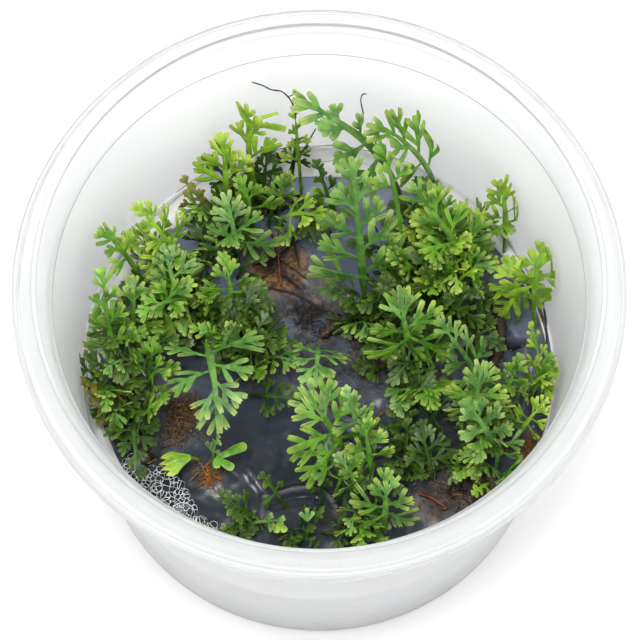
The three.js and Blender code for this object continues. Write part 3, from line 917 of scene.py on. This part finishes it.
def fingerBlade(bm, pathAt, half, look):
    # a flat tongue that widens to a blunt end cut into small teeth;
    # pathAt gives the point, the way ahead, the side and the face at a share
    pale, vein, tone = bm.verts.layers.float.values()
    teeth = look["teeth"]
    spots = {}

    def place(vert, across, along):
        key = round(along, 3)
        if key not in spots:
            spots[key] = (*pathAt(along), half(along) * (1 - 0.15 * smooth(0.70, 1, along)))
        here, ahead, side, face, wide = spots[key]
        gap = min((abs((across + 1) / 2 - k / teeth) * teeth for k in range(1, teeth)), default=1.0)
        cut = look["notch"] * look["length"] * max(0.0, 1 - gap / 0.5) * smooth(0.3, 1, along)
        rounded = 0.95 * wide * (1 - sqrt(1 - 0.97 * across * across)) * smooth(0.1, 1, along)
        back = rounded + cut
        wave = sin(across * 2.2 + along * 5 + look["phase"])
        bend = look["cup"] * (across * across - 0.4) + look["ruffle"] * wave
        vert.co = keepInside(here - ahead * back + side * (wide * across) + face * (bend * wide))
        edge = 0.35 * smooth(0.6, 1, abs(across)) * (0.3 + 0.7 * along)
        vert[pale] = look["ripe"] * min(1.0, smooth(look["green"], 1.0, along) + edge)
        vert[vein] = 1.0 - 0.4 * along if abs(across) < 0.1 else 0.0
        vert[tone] = look["tone"]

    return bendGrid(bm, *look["cells"], place)


def flatStem(bm, spotAt, rows, sides, half, toneHere, paleTip):
    # a flattened tube along a path: spotAt gives the point, side and face at a share of its length
    pale, vein, tone = bm.verts.layers.float.values()

    def place(vert, across, along):
        here, side, face = spotAt(along)
        wide, high = half(along)
        turn = pi * across
        vert.co = keepInside(here + side * (wide * sin(turn)) + face * (high * cos(turn)))
        vert[pale] = paleTip * along ** 3
        vert[vein] = 0.5 if abs(across) < 0.2 else 0.0
        vert[tone] = toneHere

    bendTube(bm, sides, rows, place)


pinnaPlans = {
    # along the pinna, side, opening in degrees and length of each finger beside the main one
    "long": ((0.26, 1, 50, 0.56), (0.40, -1, 48, 0.56), (0.58, 1, 38, 0.44), (0.66, -1, 36, 0.38)),
    "middle": ((0.32, 1, 50, 0.58), (0.46, -1, 46, 0.54), (0.64, 1, 36, 0.38)),
    "short": ((0.36, 1, 44, 0.60), (0.48, -1, 42, 0.54)),
    "tip": ((0.22, 1, 50, 0.56), (0.34, -1, 48, 0.56), (0.54, 1, 38, 0.46), (0.60, -1, 36, 0.42)),
}

pinnaRanges = {
    # how far each pinna, and then each of its fingers, may differ from the next
    "roll": (-0.35, 0.35), "lift": (-0.02, 0.25), "droop": (0.08, 0.38), "sway": (-0.16, 0.20),
    "tone": (-0.38, 0.26), "ripe": (0.30, 0.95), "length": (0.80, 1.22), "opening": (0.85, 1.15),
    "tilt": (-0.20, 0.20), "sink": (-0.05, 0.05), "bow": (0.05, 0.25), "cup": (-0.20, 0.12),
    "ruffle": (0.03, 0.14), "phase": (0, 6.3), "shade": (-0.15, 0.15), "notch": (0.04, 0.20),
}


def growPinna(bm, base, axes, span, rng, plan, broad, cells):
    # one pinna: a winged stalk that widens to a blunt tip, with fingers beside it
    def vary(key):
        return rng.uniform(*pinnaRanges[key])

    forward, side, face = axes
    roll = vary("roll")
    side, face = side * cos(roll) + face * sin(roll), face * cos(roll) - side * sin(roll)
    lift, droop, sway, toneHere, ripe = map(vary, ("lift", "droop", "sway", "tone", "ripe"))
    finger = (0.24 + 0.030 * span) * broad
    flip = rng.choice((1, -1))

    def midline(share):
        r = span * share
        return base + forward * r + side * (sway * r * share) + face * (lift * r - droop * r * share)

    def look(green, length):
        return {"cup": vary("cup"), "ruffle": vary("ruffle"), "phase": vary("phase"),
                "tone": toneHere + vary("shade"), "green": green, "length": length, "ripe": ripe,
                "teeth": rng.choice((1, 1, 2, 2)), "notch": vary("notch"), "cells": cells}

    def axisAt(share):
        ahead = (midline(share + 0.02) - midline(share - 0.02)).normalized()
        return midline(share), ahead, (side - ahead * side.dot(ahead)).normalized(), face

    def axisHalf(share):
        return finger * blend(0.46, 1.12, smooth(0.10, 0.70, share))

    made = fingerBlade(bm, axisAt, axisHalf, look(0.60, span * 0.5))
    for start, hand, opening, share in pinnaPlans[plan]:
        length = span * share * vary("length")
        origin, ahead, across, _ = axisAt(start)
        swing = radians(opening * vary("opening"))
        away = across * (hand * flip)
        tilt, sink, bow = map(vary, ("tilt", "sink", "bow"))

        def fingerAt(share):
            r = length * share
            turned = swing * (1 - 0.12 * share)
            out = ahead * cos(turned) + away * sin(turned)
            over = away * cos(turned) - ahead * sin(turned)
            return origin + face * sink + out * r + face * (tilt * r - bow * r * share), out, over, face

        def fingerHalf(share):
            return finger * blend(0.55, 1.0, smooth(0.0, 0.8, share))

        made.extend(fingerBlade(bm, fingerAt, fingerHalf, look(0.40, length)))
    return made


def thicken(bm, verts):
    # turns the sheets made of these corners into closed blades
    sheets = list(dict.fromkeys(face for vert in verts for face in vert.link_faces))
    bm.normal_update()
    made = bmesh.ops.extrude_face_region(bm, geom=sheets, use_keep_orig=True)["geom"]
    for vert in made:
        if isinstance(vert, bmesh.types.BMVert):
            vert.co -= vert.normal * frondShape["bladeThickness"]


def growFrond(bm, row, seed, cells):
    _, root, bend, tip, pairs, reach, splay, low, *own = row
    broad, stretch, bare, behind = own + frondShape["plain"][len(own):]
    rng = Random(seed)
    reach *= stretch
    if pairs > 3:
        pairs, reach = pairs - 1, reach * 1.08
    line = FrondLine(root, bend, tip)
    start = max(line.stipe - low, 2.0)
    spacing = (line.length - start) / (pairs + 0.25)
    turn = radians(splay - frondShape["tipSplay"]) / max(pairs - 1, 1)
    made = []
    for sign, first in ((1, 0.15), (-1, 0.5)):
        for i in range(bare, pairs):
            here, forward, face, side = line.at(start + spacing * (i + first))
            climb = i / max(pairs - 1, 1)
            angle = radians(splay) - i * turn + rng.uniform(-0.14, 0.14)
            span = reach * blend(1, frondShape["topShare"], climb) * rng.uniform(0.86, 1.16)
            span *= behind if sign < 0 else 1.0
            out = forward * cos(angle) + side * (sign * sin(angle))
            across = side * (sign * cos(angle)) - forward * sin(angle)
            plan = "long" if span > 5.5 else "middle" if span > 3.4 else "short"
            made.extend(growPinna(bm, here, (out, across, face), span, rng, plan, broad, cells))
    here, forward, face, side = line.at(line.length)
    top = frondShape["tipLobeShare"] * reach
    plan = "tip" if reach > 3.4 else "short"
    here -= forward * 0.35 * top
    made.extend(growPinna(bm, here, (forward, side, face), 1.35 * top, rng, plan, broad, cells))
    thicken(bm, made)

    wing = (0.24 + 0.048 * reach) * sqrt(broad)

    def spotAt(share):
        here, _, face, side = line.at(share * (line.length - 0.2))
        return here, side, face

    def half(share):
        blade = smooth(start - 3, start + 1, share * line.length)
        taper = 1 - 0.35 * smooth(start, line.length, share * line.length)
        wide, high = blend(0.20 + 0.03 * reach, wing, blade) * taper, blend(0.26, 0.16, blade)
        return wide * cap(share), high * cap(share)

    rows, sides = (36, 8) if cells == frondShape["cells"] else (14, 6)
    flatStem(bm, spotAt, rows, sides, half, rng.uniform(-0.25, 0.05), 0.15)


def growPlainLeaf(bm, root, top, blades):
    # a thin stem with a few smooth lobes that part at its top
    made = []
    for heading, rise, length, narrow, wide, teeth, notch, bow, lower in blades:
        base, turn, climb = Vector(top) - up(lower), radians(heading), radians(rise)
        ahead = Vector((cos(turn) * cos(climb), sin(turn) * cos(climb), sin(climb)))
        side = Vector((-sin(turn), cos(turn), 0))
        face = ahead.cross(side)
        look = {"cup": -0.12, "ruffle": 0.04, "phase": 1.0, "tone": 0.25, "green": 0.7, "length": length,
                "ripe": 0.6, "teeth": teeth, "notch": notch, "cells": (16, 10)}

        def bladeAt(share):
            r = length * share
            here = base + ahead * r + side * (0.06 * r * share) + face * (bow * r * (0.5 - share))
            return here, ahead, side, face

        made.extend(fingerBlade(bm, bladeAt, lambda share: blend(narrow, wide, share ** 0.8), look))
    thicken(bm, made)
    foot, top = Vector((*root, gelTop(*root) - frondShape["rootDepth"])), Vector(top)
    bow = up(0.25 * (top - foot).length)

    def spotAt(share):
        return foot.lerp(top + ahead * 0.3, share) + bow * share * (1 - share), side, face

    flatStem(bm, spotAt, 12, 6, lambda share: (0.26 * cap(share), 0.20 * cap(share)), 0.1, 0.1)


def newLeaf():
    # an empty piece with the marks that the leaf material reads
    bm = bmesh.new()
    for key in ("pale", "vein", "tone"):
        bm.verts.layers.float.new(key)
    return bm


def makeFronds():
    materials = {tint: leafMaterial(tint) for tint in leafTints}
    for seed, (name, row) in enumerate({**fronds, **smallFronds}.items(), 11):
        bm = newLeaf()
        if len(row) == 4:
            growPlainLeaf(bm, *row[1:])
        else:
            growFrond(bm, row, seed, frondShape["cells"])
        nodes = ["frond_" + name] if name in fronds else ()
        finishPiece(bm, "leaf_" + name, materials[row[0]], nodes, crisp=True)
    print(len(fronds), "fronds and", len(smallFronds), "small ones made")
    return materials


# the smaller growth that fills in round them

growth = {
    "seed": 21,
    "limit": 36,
    "cells": {"low": (4, 3), "middle": (6, 4)},
    "lean": (2.5, 6),
    "tipRise": (-1, 3),
    "splay": (75, 115),
    "width": (0.85, 1.1),
    # the low growth takes the deep tint: painted shade under the fronds above it
    "low": (
        # part of the cup, centre, spread, how many, tints, least and greatest height over the gel and reach
        ("front", -12, -28, 3.5, 4, "deep", 2, 4, 2.4, 3.6),
        ("left", -24, 9, 6, 12, "deep", 3, 9, 3, 4.8),
        ("left", -31, -8, 4, 8, "deep", 3, 8, 2.8, 4.2),
        ("left", -12, 3, 5.5, 10, "deep", 3, 8, 3, 4.8),
        ("back", -17, 21, 4.5, 9, "deep", 3, 9, 3, 4.8),
        ("back", -10, 31, 5, 8, "deep", 3, 9, 2.8, 4.4),
        ("back", 8, 10, 4, 7, "deep", 3, 7, 2.8, 4.2),
        ("right", 15, 12, 6.5, 13, "deep", 3, 9, 3, 5),
        ("right", 20, 22, 5.5, 12, "deep", 3, 9, 3, 5),
        ("right", 26, 11, 4.5, 7, "deep", 3, 9, 3, 4.6),
        ("front", 27, -9, 5, 9, "deep", 3, 9, 2.8, 4.4),
        ("front", 17, -15, 4, 8, "deep", 3, 8, 2.8, 4.4),
        ("front", 8, -27, 4, 6, "deep fresh", 2, 7, 2.4, 3.8),
    ),
    "middle": (
        # the same for the growth above it
        ("left", -20, 8, 6, 8, "fresh cool deep", 7, 14, 4, 6),
        ("left", -24, 15, 5, 7, "fresh young", 8, 14, 3.6, 5.2),
        ("left", -33, -5, 4, 4, "fresh deep", 6, 12, 3.2, 4.6),
        ("left", -31, 4, 4, 6, "fresh cool deep", 7, 13, 3.6, 5.4),
        ("left", -36, -5, 3, 6, "fresh bronze deep", 5, 12, 3.2, 4.6),
        ("left", -11, 1, 3, 4, "deep fresh", 4, 9, 3.4, 5),
        ("left", -35, 3, 3, 4, "fresh deep", 6, 12, 3.4, 5),
        ("front", 16, -6, 3, 3, "deep", 5, 10, 3.4, 4.8),
        ("left", -30, -3, 3, 4, "fresh deep", 5, 10, 3.4, 4.8),
        ("right", 27, 23, 3.5, 5, "fresh young", 9, 14, 3.8, 5.2),
        ("left", -13, 3, 4.5, 7, "deep fresh", 5, 10, 3.6, 5.2),
        ("back", -14, 26, 4, 8, "fresh cool deep", 5, 11, 4, 6),
        ("back", -1, 27, 4, 4, "fresh deep", 5, 9, 3.4, 4.6),
        ("back", 9, 8, 3.5, 4, "deep fresh", 5, 11, 3.4, 5),
        ("back", -27, 20, 3, 3, "fresh young", 9, 14, 3.4, 4.6),
        ("right", 22, 20, 5.5, 11, "fresh young deep", 7, 14, 4.2, 6.4),
        ("right", 18, 11, 6, 9, "fresh deep", 7, 14, 4, 6),
        ("right", 22, 14, 4, 4, "fresh young", 9, 16, 3.8, 5.4),
        ("right", 15, 0, 4.5, 8, "fresh deep", 6, 12, 3.8, 5.8),
        ("right", 36, -6, 3, 5, "fresh young", 7, 13, 3, 4.6),
        ("front", 27, -11, 4, 4, "cool fresh", 6, 12, 3.8, 5.6),
        ("front", 9, -25, 4, 4, "fresh deep", 4, 9, 3, 4.4),
        ("front", -14, -28, 2.5, 3, "deep cool", 1.5, 3.5, 2.4, 3.4),
        ("front", -4, -29.5, 2.5, 4, "deep", 1.5, 3.5, 2.4, 3.4),
        ("front", 4, -21, 4, 4, "fresh cool deep", 6, 11, 3.4, 5),
        ("front", 30, -18, 3.5, 6, "fresh cool", 4, 10, 3.2, 4.8),
        ("front", 14, -17, 4, 3, "deep", 4, 8, 3.2, 4.6),
    ),
}


def makeGrowth(materials):
    rng = Random(growth["seed"])
    for level in ("low", "middle"):
        beds = {}
        for part, *centre, spread, count, tints, low, high, short, long in growth[level]:
            for _ in range(count):
                x, y = scatter(rng, centre, spread, growth["limit"])
                turn = rng.uniform(0, tau)
                tall = gel["level"] + 0.5 + rng.uniform(low, high)
                away = rng.uniform(*growth["lean"])
                bend = [x + cos(turn) * away * 0.3, y + sin(turn) * away * 0.3, tall]
                tip = [x + cos(turn) * away, y + sin(turn) * away, tall + rng.uniform(*growth["tipRise"])]
                tint = rng.choice(tints.split())
                row = [tint, [x, y], bend, tip, rng.choice((2, 2, 3)), rng.uniform(short, long)]
                row += [rng.uniform(*growth["splay"]), 2]
                seed = rng.random()
                bm = newLeaf()
                growFrond(bm, [*row, rng.uniform(*growth["width"])], seed, growth["cells"][level])
                if (part, tint) not in beds:
                    beds[part, tint] = newLeaf()
                pour(bm, beds[part, tint])
        for (part, tint), bm in beds.items():
            print(level, part, tint, "faces", len(bm.faces))
            finishPiece(bm, f"{level}_leaves_{part}_{tint}", materials[tint], crisp=True)
    print("filling growth made")


# rhizomes and roots

rhizomes = {
    "rhizome_left": [[-34, 1], [-33, -6], [-31, -12], [-29, -17]],
    "rhizome_back_left": [[-29, 12], [-24, 15], [-19, 10], [-13, 6]],
    "rhizome_back": [[-20, 26], [-14, 29], [-9, 30], [-3, 32]],
    "rhizome_centre": [[18, 4], [13, 7], [7, 10], [0, 6]],
    "rhizome_right": [[30, 15], [31, 5], [28, -4], [31, -14]],
    "rhizome_front": [[4, -17], [8, -22], [10, -29]],
}

roots = {
    "seed": 33,
    "limit": 38.6,
    "tuftLimit": 38,
    "hairsPerPoint": 5,
    "scaleLength": 1.7,
    # least and greatest stride, lift over the gel, least and greatest radius, and rings
    "hair": ((0.5, 0.9), 0.6, (0.04, 0.08), 8),
    "tuft": ((0.4, 0.9), 1.5, (0.035, 0.085), 6),
    "drawn": (
        # kind, thickness and points of the roots that show
        ("rootDark", 0.13, ((-3.9, 36.5, 50), (-4.2, 36.5, 55), (-5.2, 37.5, 57), (-6.4, 38.1, 58),
            (-7.9, 38.1, 58.5), (-9.5, 38.7, 59), (-11.5, 39.1, 59.5))),
        ("rootDark", 0.1, ((-5.2, 37.5, 57), (-4.3, 37.7, 57.6), (-4, 38, 58.2))),
        ("rootDark", 0.11, ((7.5, 35.5, 54), (7, 37.4, 55.6), (7.3, 38.3, 56.2), (8, 38.5, 56))),
        ("rootDark", 0.13, ((-3.4, 35.6, 36), (-2.2, 36.4, 39.5), (-0.5, 37.7, 44))),
        ("rootDark", 0.15, ((-4.3, 37.7, 34), (-4.6, 36.2, 33), (-5.6, 34.4, 31), (-7.5, 32.8, 28.5))),
        ("rootDark", 0.2, ((38, 14, 29), (38.8, 9.3, 28), (39, 4.5, 27.2), (38.6, -1, 26.9),
            (37.8, -5, 26.9))),
        ("rootRed", 0.3, ((16.9, -22.4, 27.2), (19.2, -23.5, 27.9), (21.6, -25.1, 27))),
        ("rootRed", 0.26, ((15.6, 3.5, 31), (13.9, 2.1, 29.5), (11.6, 1, 27.4), (8, -1.2, 27))),
        ("rootDark", 0.2, ((-2.6, 27.8, 38), (-3.2, 24.5, 34), (-5.5, 21.5, 29), (-9, 19.5, 26.2))),
        ("rootDark", 0.13, ((-13, 24.5, 26.6), (-10, 22.3, 26.4), (-6.5, 20.6, 26.2), (-2, 16.8, 26.8))),
        ("rootDark", 0.13, ((-11.5, 19.5, 26.8), (-8, 21, 25.6), (-5, 23.5, 26), (-2.5, 24.5, 27))),
        ("rootRed", 0.18, ((-7, 24, 33), (-7, 20, 29), (-6.6, 15.5, 26.4))),
        ("rootDark", 0.17, ((-8.5, 25, 31), (-7.6, 22, 28.5), (-6.3, 18.5, 26.4), (-3.5, 15.5, 26.4))),
        ("rootDark", 0.13, ((-5, 25, 31), (-4.3, 22.5, 28.5), (-3.6, 20, 26.6))),
        ("rootDark", 0.15, ((-7, 20.2, 27), (-9.5, 17.5, 26.3), (-12, 16, 26.7))),
        ("rootDark", 0.18, ((-13, 17, 26.7), (-9, 15.6, 26.3), (-4, 14.2, 26.4), (1, 11.2, 26.7),
            (4, 10, 27))),
        ("rootBrown", 0.16, ((-2, -3, 27), (3, -7, 26.8), (9, -8.5, 26.8), (13, -6, 27))),
    ),
    "tufts": (
        # kind, centre, spread and how many strands
        ("rootBrown", (-22.5, -7.5), 3.2, 130), ("rootBrown", (-24.5, -12), 1.6, 30),
        ("rootOrange", (-18.6, -19.4), 1.7, 70), ("rootBrown", (-8, 20), 3.6, 45),
        ("rootBrown", (36.5, -14), 2.2, 60), ("rootDark", (25, -22), 3.5, 60),
        ("rootDark", (4, -24), 3, 25), ("rootDark", (12, 6), 5, 50), ("rootDark", (-2, 9.5), 3.5, 50),
        ("rootDark", (29, 4), 4, 40), ("rootDark", (-24, 12), 4.5, 50), ("rootBrown", (21, -22), 3.5, 30),
    ),
}


def creepingRoot(bm, rng, start, strides, lift, radii, rows):
    # a thin root that wanders over the gel
    heading, steps, stride = rng.uniform(0, tau), rng.randint(2, 4), rng.uniform(*strides)
    points = [start.copy()]
    for _ in range(steps):
        heading += rng.gauss(0, 0.45)
        here = points[-1] + compass(heading) * stride
        here.x, here.y = within(here.x, here.y, roots["limit"])
        here.z = gelSkin(here.x, here.y)[0] + rng.uniform(0, lift)
        points.append(here)
    strand(bm, points, rng.uniform(*radii), rows=rows)


def makeRhizome(name, rng, bark, beds):
    # the creeping stem, then short hair roots and one scale at each of a dozen places along it
    points = [Vector((x, y, gelTop(x, y) + 1.35)) for x, y in rhizomes[name]]
    bm = bmesh.new()
    strand(bm, points, 1.0, 12, 40, 0.55, rng.random() * 50)
    finishPiece(bm, name + "_bark", bark, [name])
    small = {kind: bmesh.new() for kind in beds}
    for i in range(12):
        middle = throughPoints(points, i / 11)
        for _ in range(roots["hairsPerPoint"]):
            kind = rng.choice(("rootDark", "rootDark", "rootBrown"))
            creepingRoot(small[kind], rng, middle, *roots["hair"])
        scaleTurn = rng.uniform(0, tau)
        end = middle + compass(scaleTurn, rng.uniform(0.2, 1.0)) * roots["scaleLength"]
        strand(small["rootBrown"], [middle, middle.lerp(end, 0.6) + up(0.2), end], 0.14)
    for kind, bm in small.items():
        pour(bm, beds[kind])


def makeRoots():
    barks = {name: fibreMaterial(name) for name in fibreColours if name != "creaseShade"}
    rng = Random(roots["seed"])
    beds = {name: bmesh.new() for name in ("rootDark", "rootBrown", "rootRed", "rootOrange")}
    for name in rhizomes:
        makeRhizome(name, rng, barks["bark"], beds)
    for kind, radius, points in roots["drawn"]:
        strand(beds[kind], [Vector(p) for p in points], radius, 6, 24, 0.5, rng.random() * 9)
    for kind, centre, spread, count in roots["tufts"]:
        bm = bmesh.new()
        for _ in range(count):
            x, y = scatter(rng, centre, spread, roots["tuftLimit"])
            begin = Vector((x, y, gelSkin(x, y)[0] + rng.uniform(0, 1.4)))
            creepingRoot(bm, rng, begin, *roots["tuft"])
        pour(bm, beds[kind])
    for name, bm in beds.items():
        finishPiece(bm, name, barks[name])
    print("rhizomes and roots made")


makeStudio()
makeCup()
makeGel()
makeWet()
makeGrowth(makeFronds())
makeRoots()
